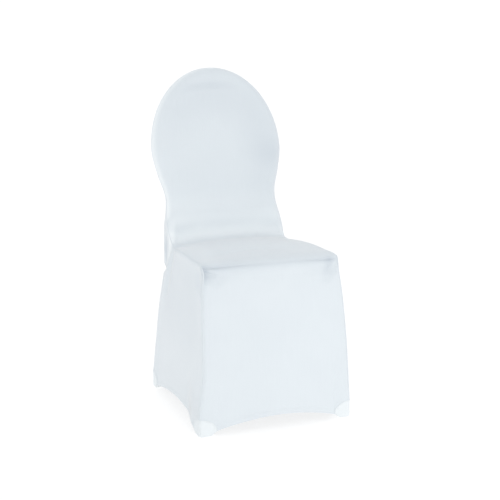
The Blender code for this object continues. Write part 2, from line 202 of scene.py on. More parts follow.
def nearest_on(path, grid):
    """Shortest distance from each point of a grid to a path, and how far along it."""
    near = np.full(grid.shape[:2], 9.0)
    place = np.zeros(grid.shape[:2])
    lengths = travelled(path)
    for k, (start, end) in enumerate(zip(path[:-1], path[1:])):
        edge = end - start
        share = np.clip(((grid - start) @ edge) / max(edge @ edge, 1e-12), 0.0, 1.0)
        away = np.linalg.norm(grid - start - share[..., None] * edge, axis=-1)
        closer = away < near
        near = np.where(closer, away, near)
        place = np.where(closer, lengths[k] + share * (lengths[k + 1] - lengths[k]), place)
    return near, place


# %% [markdown]
# ## The seams
#
# The seams are where the maker sews two panels together, and they carry the
# shape. On each side one seam runs from the join of seat and back along the
# seat's edge and down the front corner. Another drops from the join down the
# rear corner. A third runs from the join up round the rim of the back.

# %% Seam lines
def front_seam():
    """Left seam from the join along the seat and down the front corner.

    Also gives how many of its points lie on the seat.
    """
    join = mirrored(JOIN)
    middle = np.array([-(JOIN[0] + CORNER_X) / 2 - 0.006, (JOIN[1] + CORNER_Y) / 2, SEAT_Z + SIDE_RISE])
    shoulder = np.array([-CORNER_X + 0.003, CORNER_Y + 0.085, SEAT_Z + 0.002])
    before = np.array([-CORNER_X + 0.001, CORNER_Y + ROLL, SEAT_Z])
    knots = [join, 0.6 * join + 0.4 * middle + np.array([0, 0, 0.003]), middle, shoulder, before]
    for degrees in (25, 50, 75):
        a = math.radians(degrees)
        x = -CORNER_X + 0.002 * (1 - math.cos(a))
        y = CORNER_Y + ROLL * (1 - math.sin(a))
        z = SEAT_Z - ROLL * (1 - math.cos(a))
        knots.append(np.array([x, y, z]))
    knots += [
        (-CORNER_X, CORNER_Y - 0.002, SEAT_Z - ROLL - 0.018),
        (-CORNER_X - 0.0045, CORNER_Y - 0.010, SEAT_Z - ROLL - 0.065),
        (-KNEE[0], KNEE[1], KNEE[2]),
        (-FRONT_FOOT[0], FRONT_FOOT[1], POCKET_HIGH),
    ]
    whole = smooth_path(knots, 800)
    split = np.argmin(np.linalg.norm(whole - knots[5], axis=1))
    return whole, split


def rear_seam():
    """Left seam from the join down the rear corner to the foot pocket."""
    hip = np.array([-HIP[0], HIP[1], HIP[2]])
    foot = np.array([-REAR_FOOT[0], REAR_FOOT[1], POCKET_HIGH])
    knots = [mirrored(JOIN), (-NOTCH[0], NOTCH[1], NOTCH[2]), hip, (hip + foot) / 2 - [0.001, 0, 0], foot]
    return smooth_path(knots, 400)


BACK_UP = np.array([0.0, math.sin(TILT), math.cos(TILT)])
BACK_OUT = np.array([0.0, math.cos(TILT), -math.sin(TILT)])
BACK_BASE = np.array([0.0, BACK_Y, JOIN[2]])


def rim_seam():
    """Left half of the seam round the back's rim, from the join to the top."""
    rise = (TOP_Z - JOIN[2]) / math.cos(TILT) - WIDE[1]
    width_a = 0.45 * WAIST[0] + 0.55 * WIDE[0]
    height_a = 0.52 * WAIST[1] + 0.48 * WIDE[1] - 0.005
    outline = [(JOIN[0], 0.0), (JOIN[0] + 0.003, 0.05), WAIST, (width_a, height_a)]
    for k in range(11):
        a = math.radians(9 * k)
        outline.append((WIDE[0] * math.cos(a), WIDE[1] + rise * math.sin(a)))
    flat = smooth_path([(-x, h, 0.0) for x, h in outline], 600)
    depth = (JOIN[1] - BACK_Y) * (1 - smoothstep(flat[:, 1], 0.0, 0.12))
    seam = BACK_BASE + flat[:, 1:2] * BACK_UP + depth[:, None] * BACK_OUT
    seam[:, 0] = flat[:, 0]
    seam[0] = mirrored(JOIN)
    seam[-1, 0] = 0.0
    return seam


FRONT_SEAM, SEAT_SPLIT = front_seam()
REAR_SEAM = rear_seam()
RIM = rim_seam()
WHOLE_RIM = np.concatenate([RIM, mirrored(RIM[-2::-1])])
for title, seam in (("front", FRONT_SEAM), ("rear", REAR_SEAM), ("rim", WHOLE_RIM)):
    print(title, "seam:", round(travelled(seam)[-1], 3), "m")

# %% [markdown]
# ## Folds and puckers
#
# A stretched cover is nearly smooth. What breaks it up is small: a crease
# under the seat's front edge, a dimple at each front corner where the cloth
# turns the edge, a pull from the foot of the back down to the rear corner with
# a notch below it, a crease under the rolled top, and faint drag lines above
# the feet. Each fold is given along a short line, with its height at each point
# of the line: a trough is minus. The first five are broad, and the solids have
# them too. All their numbers are in millimetres.

# %% Folds listed one by one
FOLDS = (
    # panel, half width, then x, y, z and height at each point
    ("front", 24, (-190, -186, 430, -3), (190, -186, 428, -3)),
    ("front", 26, (-196, -182, 434, -4.5), (-165, -190, 420, -4.5)),
    ("front", 26, (196, -182, 434, -3.5), (160, -192, 405, -3.5)),
    ("side", 30, (200, -150, 420, -3.4), (202, -172, 398, -3.4)),
    ("side", 35, (180, 120, 430, -4.5), (192, 150, 330, -4.5)),
)
CREASES = (
    # under the seat's front edge, from the left corner to the right one
    (
        "front", 7.5,
        (-199, -173.5, 455.5, -3.5), (-174, -176.5, 457, -5), (-140, -178.5, 457.5, -4),
        (-93, -180.5, 458, -2.2), (-7, -185, 456, -0.6), (86, -182.5, 457, -1),
        (146, -181.5, 454, -3), (178, -179.5, 452.5, -5), (197, -177.5, 451, -3.5),
    ),
    ("front", 12, (-198, -176, 450, -4), (-190, -182, 440, -7.5), (-172, -187, 434, -3)),
    ("front", 12, (-196, -180, 442, -4), (-201, -184, 418, -4), (-203, -187, 395, -1)),
    ("front", 24, (-150, -186, 430, 0), (-80, -186, 430, 2.6), (80, -186, 430, 2.6), (150, -186, 430, 0)),
    ("front", 16, (-190, -184, 436, -3), (-150, -190, 434, -1.6), (-110, -192, 436, 0)),
    ("front", 18, (192, -182, 440, -4), (178, -188, 415, -3.5), (160, -192, 385, -0.8)),
    ("side", 11, (202, -178, 440, -1), (203, -180, 415, -2.6), (206, -186, 380, -0.8)),
    # the pull at the foot of the back, on the inside, the rear corner and the post
    ("front", 11, (-162, 152, 510, 1), (-168, 147, 478, 4.2), (-172, 142, 455, 3.6)),
    ("front", 10, (160, 152, 510, 0.8), (167, 147, 480, 3), (172, 142, 455, 2.6)),
    ("front", 17, (-170, 128, 452, 2.2), (-150, 105, 459, 2.6), (-122, 72, 466, 0.4)),
    ("front", 15, (170, 128, 452, 1.8), (148, 104, 459, 1.8), (118, 70, 466, 0.3)),
    ("side", 12, (180, 128, 436, 1.6), (182, 145, 412, 2.2), (184, 168, 386, 1.2)),
    ("rear", 16, (-174, 190, 464, -2), (-175, 203, 434, -5), (-178, 190, 402, -2)),
    ("rear", 16, (174, 190, 464, -1.6), (175, 203, 434, -4), (178, 190, 402, -1.6)),
    (
        "rear", 19,
        (-180, 172, 386, -1), (-181, 195, 374, -5),
        (-182, 218, 371, -7.8), (-174, 234, 371, -7), (-145, 239, 373, -0.8),
    ),
    (
        "rear", 19,
        (180, 172, 388, -1), (181, 195, 377, -3.5),
        (182, 218, 374, -5), (174, 234, 374, -4.5), (145, 239, 376, -0.6),
    ),
    # drag lines above the feet
    ("front", 7, (-199, -230, 70, 0.4), (-186, -224, 120, 0.9), (-168, -216, 185, 0.2)),
    ("front", 6, (-188, -231, 56, 0.5), (-160, -226, 90, 0.8), (-118, -220, 130, 0.1)),
    ("front", 7, (200, -230, 66, 0.5), (184, -224, 112, 0.8), (170, -218, 165, 0.2)),
    ("front", 6, (186, -231, 54, 0.5), (150, -225, 92, 0.9), (105, -220, 124, 0.1)),
    ("rear", 7, (-188, 249, 64, 0.5), (-168, 247, 120, 0.9), (-150, 245, 190, 0.2)),
    ("rear", 7, (188, 249, 60, 0.6), (162, 247, 108, 0.9), (130, 245, 160, 0.2)),
    ("side", 7, (215, -212, 66, 0.5), (211, -190, 115, 0.9), (207, -160, 180, 0.2)),
    ("side", 7, (203, 230, 62, 0.6), (200, 205, 110, 0.9), (198, 175, 165, 0.2)),
    # under the rolled top edge of the back
    (
        "front", 16,
        (-122, 250, 885, 0), (-78, 253, 904, -1.2),
        (-15, 254, 908, -1.4), (36, 254, 906, -0.8), (85, 252, 898, 0),
    ),
    # slack over the seat and along the waist of the back
    ("front", 30, (-120, -90, 468, -1), (-20, -60, 472, -1.6), (90, -80, 469, -0.6)),
    ("front", 20, (-150, 163, 560, 0.8), (-90, 160, 548, 1.2), (-20, 159, 545, 0.2)),
    ("front", 22, (150, 168, 590, 1), (85, 163, 570, 1.2), (20, 161, 562, 0.2)),
)


def spread(half, points, grid):
    """The fourth number of a line placed by hand, faded out on both sides of the line."""
    line = np.array(points)
    path = line[:, :3] * MM
    away, along = nearest_on(path, grid)
    return np.interp(along, travelled(path), line[:, 3]) * hump(away, 0.0, half * MM)


def pressed(grid, panel, folds, laid=None):
    """The grid with its folds, whose lines lie on the grid or on the laid one."""
    inner = smoothstep(side_distance(grid), 0.0, 0.004)
    normals = grid_normals(grid)
    for which, half, *points in folds:
        if which == panel:
            height = spread(half, points, grid if laid is None else laid) * MM
            grid = grid + normals * (height * inner)[..., None]
    return grid


def eased(grid, row, reach, sides):
    """The grid with the fold at one row rounded off, as stretched cloth rounds it."""
    rise = travelled(grid)
    weight = hump(rise - rise[row], 0.0, reach) * smoothstep(side_distance(grid), 0.0, sides)
    soft = np.zeros_like(grid)
    for shift in np.linspace(-0.6, 0.6, 13) * reach:
        for c in range(grid.shape[1]):
            for k in range(3):
                soft[:, c, k] += np.interp(rise[:, c] + shift, rise[:, c], grid[:, c, k]) / 13
    return grid + (soft - grid) * weight[..., None]


# how far ahead and how far above the join the cloth hangs free, and how far it lifts there
BRIDGE = (0.056, 0.038, 0.0140)


def bridged(points):
    """The points with the cloth drawn straight across where the seat meets the back."""
    share = np.clip(np.abs(points[..., 0]) / JOIN[0], 0, 1)
    ahead = points[..., 1] - JOIN[1] - JOIN_BOW * (1 - share**2)
    above = points[..., 2] - JOIN[2] - CROWN_REAR * (1 - share**CROWN_POWER)
    away = np.hypot(ahead / BRIDGE[0], above / BRIDGE[1])
    lift = BRIDGE[2] * np.clip(1 - away, 0, 1) ** 2
    return points + lift[..., None] * np.array([0.0, -0.65, 0.76])


def puckered(grid, seam, height=0.00035, reach=0.009):
    """The grid with small uneven puckers beside a seam."""
    away, along = nearest_on(seam[::5], grid)
    wave = np.sin(along * 520 + 2.0 * np.sin(along * 137)) * (0.6 + 0.4 * np.sin(along * 51 + 1))
    fade = np.exp(-((away / reach) ** 2)) * smoothstep(away, 0.0, 0.002)
    return grid + grid_normals(grid) * (height * wave * fade)[..., None]


# %% [markdown]
# ## The hems
#
# Between the feet each hem arches up, because the cloth is pulled to the feet
# and nothing pulls the middle down. Over a foot pocket the panel is cut back
# in a quarter round, and the pocket is sewn into that curve. The edge itself
# is turned up inside and stitched down, so it is two layers deep and rounded.
# Rows of points for the turned layer are added below the panel's own rows.

# %% Hems
POCKET_CELLS = 16
MIDDLE_CELLS = 44
CORNER_STEPS = (0, 0.0004, 0.0013, 0.0027, 0.0045)
EVEN_FROM = 0.0072
HEM_DEEP = 0.013
HEM_STITCH = 0.012
HEM_SWELL = 0.0005
STITCH_PRESS = 0.0006
TURN = 0.0010


def across_steps(half):
    """Places across a panel, -1 to 1, close together near its corners."""
    even = np.linspace(EVEN_FROM, POCKET_WIDE, POCKET_CELLS + 1 - len(CORNER_STEPS))
    pocket = np.concatenate([CORNER_STEPS, even])
    rest = np.linspace(POCKET_WIDE, half, MIDDLE_CELLS + 1)[1:]
    one = np.concatenate([pocket, rest]) / half - 1.0
    return np.concatenate([one, -one[-2::-1]])


def denser(steps, parts=5):
    """The same places with more between them, for working out a rounded edge."""
    count = (len(steps) - 1) * parts + 1
    fine = np.interp(np.arange(count) / parts, np.arange(len(steps)), steps)
    edge = -1 + (fine[parts] + 1) * np.linspace(0, 1, parts + 1) ** 3
    return np.concatenate([edge, fine[parts + 1 : -parts - 1], -edge[::-1]])


def respaced(grid, parts=5):
    """Each row of a dense grid with fewer points: even ones, but for those at the hem."""
    rows = []
    for row in grid:
        along = travelled(row)
        kept = along[::parts]
        even = np.linspace(0.0, along[-1], len(kept))
        weight = float(smoothstep(row[0, 2], 0.06, 0.15))
        at = (1 - weight) * kept + weight * even
        rows.append(points_at(at, along, row))
    return np.array(rows)


def hem_height(distance, half, arch):
    """Height of a skirt's lower edge at a distance from its corner."""
    free = arch * (1 - (1 - distance / half) ** 2)
    at_pocket = arch * (1 - (1 - POCKET_WIDE / half) ** 2)
    q = np.clip(distance / POCKET_WIDE, 0.0, 1.0)
    over = at_pocket + (POCKET_HIGH - at_pocket) * np.sqrt(1 - q**2)
    return np.where(distance < POCKET_WIDE - 1e-9, over, free)


def settle_hem(grid, along):
    """Let the hem's arch die out a little above the hem instead of at the top."""
    last = grid.shape[1] - 1
    arch = grid[0, :, 2] - np.interp(np.arange(last + 1), [0, last], [grid[0, 0, 2], grid[0, -1, 2]])
    kept = np.clip(1 - along / HEM_FADE, 0, 1)
    grid[..., 2] += arch[None, :] * (kept - (1 - along / along[-1]))[:, None]


def swollen_hem(grid):
    """Two layers make the hem a little thicker, and the stitch line presses it in."""
    rise = travelled(grid)
    inner = smoothstep(side_distance(grid), 0.0, 0.003)
    swell = HEM_SWELL * (1 - smoothstep(rise, HEM_DEEP - 0.004, HEM_DEEP + 0.003))
    pressed_in = STITCH_PRESS * hump(rise, HEM_STITCH, 0.0030)
    return grid + grid_normals(grid) * ((swell - pressed_in) * inner)[..., None]


def row_above(grid, distance, out):
    """A row of points at a distance above the hem and a distance out from the cloth."""
    rise = travelled(grid)
    normals = grid_normals(grid)
    row = []
    for c in range(grid.shape[1]):
        spot = [np.interp(distance, rise[:, c], grid[:, c, k]) for k in range(3)]
        facing = [np.interp(distance, rise[:, c], normals[:, c, k]) for k in range(3)]
        row.append(np.array(spot) + np.array(facing) * out)
    return np.array(row)


def turned_up(grid):
    """The grid with its turned-up layer and its rounded edge as extra rows below."""
    layer = [row_above(grid, distance, -2 * TURN) for distance in np.linspace(HEM_DEEP, 0.0, 5)]
    normals = grid_normals(grid)
    upwards = unit(grid[1] - grid[0])
    middle = grid[0] - normals[0] * TURN
    for degrees in (-60, -30, 0, 30, 60):
        a = math.radians(degrees)
        layer.append(middle + TURN * (math.sin(a) * normals[0] - math.cos(a) * upwards))
    return np.concatenate([np.array(layer), grid])


# %% [markdown]
# ## The panels
#
# Each panel is stretched between its own seams. The front panel goes from the
# hem up over the seat's front edge, back along the seat, and up the inside of
# the back to the rim, with no seam on the way. The rear panel wraps the posts
# and the back of the board. A panel is first worked out on a dense grid and
# then given evenly spaced points, so that a tight turn gets as many points as
# it needs. Rows are close together at the seat's edge and at the rim.

# %% Rows and edges of the panels
ROLL_ROWS = 30
SKIRT_ROWS = 90
SHOULDER = 0.68
# where a panel is rounded off: how far up and down from its row, and how far in from its sides
EDGE_EASE = (0.042, 0.040)
JOIN_EASE = (0.016, 0.012)
BOARD_EASE = (0.090, 0.020)
POST_EASE = (0.050, 0.004)
CURL = 1 - 0.066 * (1 - np.cos(np.radians(np.linspace(90, 0, 15))))
FLANK = np.concatenate([np.linspace(0, CURL[0], 94), CURL[1:]])
down = np.concatenate([np.linspace(0, 0.16, ROLL_ROWS + 1), np.linspace(0.16, 1, SKIRT_ROWS + 1)[1:]])
half_side = (REAR_FOOT[1] - FRONT_FOOT[1]) / 2
u = denser(across_steps(FRONT_FOOT[0]))
u_side = denser(across_steps(half_side))
rows_side = across_steps(half_side)
seat_rows = spaced(FRONT_SEAM[: SEAT_SPLIT + 1], (rows_side + 1) / 2)
seat_edge = spaced(FRONT_SEAM[: SEAT_SPLIT + 1], (u_side + 1) / 2)
corner_edge = spaced(FRONT_SEAM[SEAT_SPLIT:], down)[::-1]
rear_edge = spaced(REAR_SEAM, down)[::-1]
flank = spaced(RIM, SHOULDER * FLANK)
crown_left = spaced(RIM, np.interp(u[: len(u) // 2 + 1], [-1, 0], [SHOULDER, 1]))
crown = np.concatenate([crown_left, mirrored(crown_left[-2::-1])])
print("columns:", len(rows_side), "rows up the skirt:", len(down), "rows up the back:", len(flank))


def skirt_hem(half, y, arch):
    """The lower edge of the front or rear skirt, from left to right."""
    return np.stack([half * u, np.full(len(u), y), hem_height(half * (1 - np.abs(u)), half, arch)], axis=1)


# %% Front panel
def front_surface():
    """Front skirt, seat and inside back as one surface."""
    domed = 1 - np.abs(u) ** CROWN_POWER
    bowed = JOIN[1] + JOIN_BOW * (1 - u**2)
    junction = np.stack([u * JOIN[0], bowed, JOIN[2] + CROWN_REAR * domed], axis=1)
    left = np.concatenate([corner_edge, seat_rows[-2::-1]])
    seat = patch(left, mirrored(left), skirt_hem(FRONT_FOOT[0], FRONT_FOOT[1], ARCH_FRONT), junction)
    along = travelled(left)
    turn = along[len(corner_edge) - 1]
    to_rear = np.clip((along - turn) / (along[-1] - turn), 0, 1)
    crown_top = CROWN_FRONT + (CROWN_REAR - CROWN_FRONT) * to_rear
    crown_low = CROWN_FRONT * smoothstep(along, turn - 0.07, turn)
    wanted = np.where(along >= turn, crown_top, crown_low)
    seat[..., 2] += (wanted - along / along[-1] * CROWN_REAR)[:, None] * domed
    settle_hem(seat, along)
    seat[..., 1] -= FRONT_BULGE * hump(along, turn - 0.03, 0.12)[:, None] * domed
    firm = ROLL_EDGE * hump(along, turn - 0.007, 0.022)[:, None] * domed
    seat = seat + firm[..., None] * np.array([0.0, -0.7, 0.7])
    rounding = EDGE_ROUND[0] * quarter_round(side_distance(seat), EDGE_ROUND[1])
    seat = respaced(seat + grid_normals(seat) * rounding[..., None])
    inside = patch(flank, mirrored(flank), junction, crown)
    away, _ = nearest_on(WHOLE_RIM[::6], inside)
    away[:, 0] = away[:, -1] = away[-1] = 0.0
    height = (inside - BACK_BASE) @ BACK_UP
    depth = PAD * smoothstep(height, 0.0, 0.10) * quarter_round(away, RIM_ROUND)
    inside = respaced(inside - depth[..., None] * BACK_OUT)
    laid = np.concatenate([seat, inside[1:]])
    front = eased(laid, len(corner_edge) - 1, *EDGE_EASE)
    front = eased(front, len(seat) - 1, *JOIN_EASE)
    front = bridged(pressed(pressed(front, "front", FOLDS), "front", CREASES, laid))
    for seam in (FRONT_SEAM, mirrored(FRONT_SEAM), WHOLE_RIM):
        front = puckered(front, bridged(seam))
    return swollen_hem(front)


# %% Rear panel
def rear_depth(seam):
    """How far the rear face stands behind its seam, and the lean of that step."""
    z = seam[:, 2]
    lean = TILT * smoothstep(z, JOIN[2], BOARD_FROM)
    board = BACK_Y + (BOARD_FROM - JOIN[2]) * math.tan(TILT) + PAD / math.cos(TILT)
    line = smooth_path([(0.0, y, h) for h, y in REAR_LINE] + [(0.0, board, BOARD_FROM)], 200)
    face = np.interp(z, line[:, 2], line[:, 1])
    free = np.maximum((face - seam[:, 1]) / np.cos(lean), EDGE_ROUND[0])
    return np.where(z > BOARD_FROM, PAD, free), lean


def rear_surface():
    """Rear skirt, posts and outside back as one surface."""
    left = np.concatenate([rear_edge, flank[1:]])
    rear = patch(left, mirrored(left), skirt_hem(REAR_FOOT[0], REAR_FOOT[1], ARCH_FRONT), crown)
    settle_hem(rear, travelled(left))
    z = left[:, 2]
    depth, lean = rear_depth(left)
    radius = np.interp(z, *np.transpose(POST_ROUND))
    to_rim, _ = nearest_on(WHOLE_RIM[::6], rear)
    to_rim[:, 0] = to_rim[:, -1] = to_rim[-1] = 0.0
    away = np.where((z < JOIN[2] - 1e-6)[:, None], side_distance(rear), to_rim)
    backwards = np.stack([np.zeros(len(z)), np.cos(lean), -np.sin(lean)], axis=1)
    rear = rear + (depth[:, None] * quarter_round(away, radius[:, None]))[..., None] * backwards[:, None]
    out = np.interp(z, [0.30, NOTCH[2], JOIN[2], JOIN[2] + 0.13], [0, 0.004, POST_OUT, 0])
    rear[..., 0] += np.sign(rear[..., 0]) * out[:, None] * hump(away, 0.022, 0.022)
    rear = eased(respaced(rear)[:, ::-1], int(np.argmax(z > BOARD_FROM)), *BOARD_EASE)
    rear = eased(rear, int(np.argmax(z > JOIN[2] - 1e-6)), *POST_EASE)
    rear = bridged(pressed(rear, "rear", CREASES))
    for seam in (REAR_SEAM, mirrored(REAR_SEAM), WHOLE_RIM):
        rear = puckered(rear, bridged(seam))
    return swollen_hem(rear)


# %% Side panels
def side_surface():
    """The left side panel, with its columns from rear to front."""
    middle = (REAR_FOOT[1] + FRONT_FOOT[1]) / 2
    x = -np.interp(u_side, [-1, 1], [REAR_FOOT[0], FRONT_FOOT[0]])
    z = hem_height(half_side * (1 - np.abs(u_side)), half_side, ARCH_SIDE)
    hem = np.stack([x, middle - half_side * u_side, z], axis=1)
    side = patch(rear_edge, corner_edge, hem, seat_edge)
    settle_hem(side, travelled(corner_edge))
    sill = np.minimum(side_distance(side), np.linalg.norm(side - side[-1][None], axis=2))
    side = side + grid_normals(side) * (EDGE_ROUND[0] * quarter_round(sill, EDGE_ROUND[1]))[..., None]
    side[-1] = seat_edge
    side = respaced(side)
    right = mirrored(side)[:, ::-1]
    right = pressed(pressed(right, "side", FOLDS), "side", CREASES)
    side = bridged(mirrored(right)[:, ::-1])
    for seam in (FRONT_SEAM, REAR_SEAM):
        side = puckered(side, bridged(seam))
    return swollen_hem(side)


SURFACES = {"front": front_surface(), "rear": rear_surface(), "side_left": side_surface()}
SURFACES["side_right"] = mirrored(SURFACES["side_left"])[:, ::-1]
for title, surface in SURFACES.items():
    print(title, "panel:", surface.shape[:2], "points, top at", round(float(surface[..., 2].max()), 4))

# %% [markdown]
# ## Foot pockets
#
# Each lower corner ends in a small bag of doubled cloth that slips over the
# foot and holds the cover down. It has a flat sole, a wall outside that is
# sewn into the quarter round of both panels, and a lower wall inside. It could
# be one block, but a real one is a thin bag, so it is rolled from rings of
# points that run from the middle of the sole out to its edge and up the wall.


# %% Foot pockets
# how far the middle of a sole lies from both walls: a little further at the front left, as on its solid
SOLE_INSET = 0.015
SOLE_INSET_LEFT = 0.0162
SOLE_TUCK = 0.14
TUCK_PART = 0.12
RIM_STEPS = 24


def pocket_surface(face, side, inset=SOLE_INSET):
    """Outer face of one foot pocket as rings, from the middle of the sole up to its rim."""
    corner = face[0]
    along_face = unit((face[-1] - corner) * [1, 1, 0])
    along_side = unit((side[-1] - corner) * [1, 1, 0])
    a_end = (face[-1] - corner) @ along_face
    b_end = (side[-1] - corner) @ along_side
    outside = np.concatenate([side[::-1], face[1:]])
    ring = [(p, (p - corner) @ along_face, (p - corner) @ along_side) for p in outside]
    for k in range(1, RIM_STEPS):
        t = math.radians(90 * k / RIM_STEPS)
        a = a_end * math.cos(t) ** 0.75
        b = b_end * math.sin(t) ** 0.75
        rim = (1 - k / RIM_STEPS) * face[-1][2] + k / RIM_STEPS * side[-1][2]
        rim = rim + (POCKET_BACK - rim) * math.sin(2 * t) ** 2
        ring.append(((corner + along_face * a + along_side * b) * [1, 1, 0] + [0, 0, rim], a, b))
    centre = corner + (along_face + along_side) * inset
    low = min(face[-1][2], side[-1][2])
    shares = np.concatenate([np.linspace(0, TUCK_PART, 7), np.linspace(TUCK_PART, 1, 18)[1:]])
    rows = []
    for share in shares:
        tuck = 1 - SOLE_TUCK + SOLE_TUCK * float(quarter_round(share, TUCK_PART))
        row = []
        for p, a, b in ring:
            z = share * p[2]
            shrink = (1 - SOLE_SHARE) * (1 - min(z / low, 1.0))
            move = -along_face * a * (a / a_end) * shrink - along_side * b * (b / b_end) * shrink
            swell = 1 + 0.02 * hump(z, 0.012, 0.010)
            point = centre + (p + move - centre) * tuck * swell
            row.append((point[0], point[1], z))
        rows.append(row)
    wall = np.array(rows)
    middle = wall[0].mean(axis=0)
    sole = [middle + (wall[0] - middle) * share for share in (0.0, 0.25, 0.5, 0.75, 0.92)]
    rings = np.concatenate([np.array(sole), wall])
    return np.concatenate([rings, rings[:, :1]], axis=1)


wide = POCKET_CELLS + 1
hem_front, hem_rear = SURFACES["front"][0], SURFACES["rear"][0]
hem_left, hem_right = SURFACES["side_left"][0], SURFACES["side_right"][0]
POCKETS = {
    "front_left": pocket_surface(hem_front[:wide], hem_left[::-1][:wide], SOLE_INSET_LEFT),
    "front_right": pocket_surface(hem_right[:wide], hem_front[::-1][:wide]),
    "rear_right": pocket_surface(hem_rear[:wide], hem_right[::-1][:wide]),
    "rear_left": pocket_surface(hem_left[:wide], hem_rear[::-1][:wide]),
}
print("pockets:", {title: rings.shape[:2] for title, rings in POCKETS.items()})

# %% [markdown]
# ## Sheets of cloth
#
# A surface becomes cloth in three steps: a flat grid is added, its points are
# moved to their places, and Solidify gives it a thickness inwards, as thin as
# the real knit. The grid's own map is laid out in metres along the cloth, so
# the knit keeps its size and turns with the cloth. Each point also keeps how
# close it is to a seam, which the finish uses for the fine gathers there and
# for a painted shade along the seams, and a share of painted light and shade.
# Plus makes the cloth whiter, as painted light on the rim and at the foot of
# the back and on the seat. Minus makes it greyer, as painted shade under the
# seat's front edge, at the front corners, in the hollow at the left rear corner,
# on the sides, on the top of the back and beside the front left pocket. These
# places are lines listed one by one, each with a half width and a share.

# %% Making a sheet
CENTRE = np.array([0.0, 0.03627, 0.0])
PULL = 0.014
PULL_FADE_UP = (0.05, 0.18)
PULL_FADE_AWAY = (0.055, 0.15)
SEAM_REACH = 0.012


def stood(points):
    """The points where the cover stands, with its front left foot pulled outwards."""
    away = np.hypot(points[..., 0] + FRONT_FOOT[0], points[..., 1] - FRONT_FOOT[1])
    kept = (1 - smoothstep(points[..., 2], *PULL_FADE_UP)) * (1 - smoothstep(away, *PULL_FADE_AWAY))
    return points - CENTRE - PULL * kept[..., None] * np.array([1.0, 0.0, 0.0])


LEFT_SEAMS = (FRONT_SEAM, REAR_SEAM)
ALL_SEAMS = [bridged(seam) for seam in (*LEFT_SEAMS, *map(mirrored, LEFT_SEAMS), WHOLE_RIM)]


def lie(piece):
    """Select only this piece and make it active, as a click does."""
    bpy.ops.object.select_all(action="DESELECT")
    piece.select_set(True)
    bpy.context.view_layer.objects.active = piece


def near_seams(grid):
    """1 on a seam, falling to 0 about two centimetres away."""
    away = np.full(grid.shape[:2], 9.0)
    for seam in ALL_SEAMS:
        away = np.minimum(away, nearest_on(seam[::12], grid)[0])
    return np.exp(-((away / SEAM_REACH) ** 2))


SPOTS = np.searchsorted(travelled(RIM), np.linspace(0.10, 0.99 * travelled(RIM)[-1], 14))
LEFT_RIM = (RIM[SPOTS] + [0.003, -0.004, 0.0]) / MM
RIGHT_RIM = mirrored(LEFT_RIM[:4:-1])
# Painted light and shade: lines where the cloth is coloured whiter as painted light and greyer as painted
# shade.
PAINTED_LIGHT_AND_SHADE = (
    # half width, then x, y, z in millimetres and a share: plus is painted light, minus is painted shade
    (34, (-172, 142, 472, 0.9), (-90, 141, 487, 0.9), (90, 141, 487, 0.8), (172, 142, 472, 0.6)),
    (
        21, (-172, 158, 520, 0.3), (-176, 154, 480, 0.9),
        (-179, 157, 430, 0.9), (-180, 180, 398, 0.6), (-180, 196, 378, 0.3),
    ),
    (22, (-174, 200, 466, -0.3), (-175, 208, 434, -0.6), (-178, 200, 402, -0.3)),
    (18, *[(*place, 0.9) for place in LEFT_RIM]),
    (18, *[(*place, 0.6) for place in RIGHT_RIM]),
    (34, (-150, 152, 520, 0.4), (150, 152, 520, 0.35)),
    (65, (90, 210, 725, -0.08), (165, 203, 700, -0.26)),
    (
        20, (-122, 250, 885, -0.05), (-78, 253, 904, -0.22),
        (-15, 254, 908, -0.26), (36, 254, 906, -0.18), (85, 252, 898, 0),
    ),
    (
        120, (-110, 225, 850, -0.2), (0, 240, 890, -0.26), (110, 225, 850, -0.3),
        (160, 200, 740, -0.36), (150, 180, 640, -0.24),
    ),
    (60, (-140, 166, 560, 0.3), (140, 166, 560, 0.1)),
    (60, (-150, 60, 462, 0.4), (-160, -60, 462, 0.4), (-165, -130, 460, 0.35)),
    (110, (-80, -30, 470, 0.2), (120, -30, 470, 0.14)),
    (150, (-205, -110, 420, -0.2), (-200, 110, 400, -0.24)),
    (110, (-210, -100, 280, -0.18), (-205, 100, 280, -0.18)),
    (
        15, (-200, -172, 457, -0.45), (-174, -177, 456, -0.45), (-93, -181, 456, -0.28),
        (-7, -186, 454, -0.12), (86, -183, 455, -0.18), (146, -182, 452, -0.35), (190, -180, 450, -0.5),
    ),
    (40, (-180, -186, 446, -0.3), (-60, -192, 448, -0.18), (60, -192, 450, -0.1), (170, -186, 440, -0.25)),
    (17, (-198, -176, 449, -0.5), (-194, -182, 438, -1), (-186, -187, 428, -0.3)),
    (24, (176, -182, 448, -0.4), (168, -187, 425, -0.5), (156, -191, 400, -0.1)),
    (20, (-203, -160, 436, -0.2), (-206, -174, 405, -0.35), (-208, -182, 370, -0.1)),
    (10, (-214, -238, 140, -0.1), (-217, -248, 90, -0.35), (-219, -254, 52, -0.35)),
)


def painted_light_and_shade_share(grid):
    """Share of painted light and shade at each point, from -1 for painted shade to 1 for painted light."""
    total = np.zeros(grid.shape[:2])
    for half, *points in PAINTED_LIGHT_AND_SHADE:
        total += spread(half, points, grid)
    return np.clip(total, -1.0, 1.0)


def smooth(piece, degrees=50):
    """Smooth shading that stops at sharp edges."""
    lie(piece)
    bpy.ops.object.shade_smooth_by_angle(angle=math.radians(degrees))


def keep(mesh, name, numbers):
    """Keep one number for each point of a mesh, for its finish to read."""
    mesh.attributes.new(name, "FLOAT", "POINT").data.foreach_set("value", numbers.reshape(-1))


def thicken(piece, thick):
    """Give a sheet its thickness inwards and smooth it."""
    lie(piece)
    layer = piece.modifiers.new("Thickness", "SOLIDIFY")
    layer.thickness = thick
    layer.offset = -1.0
    bpy.ops.object.modifier_apply(modifier="Thickness")
    smooth(piece)


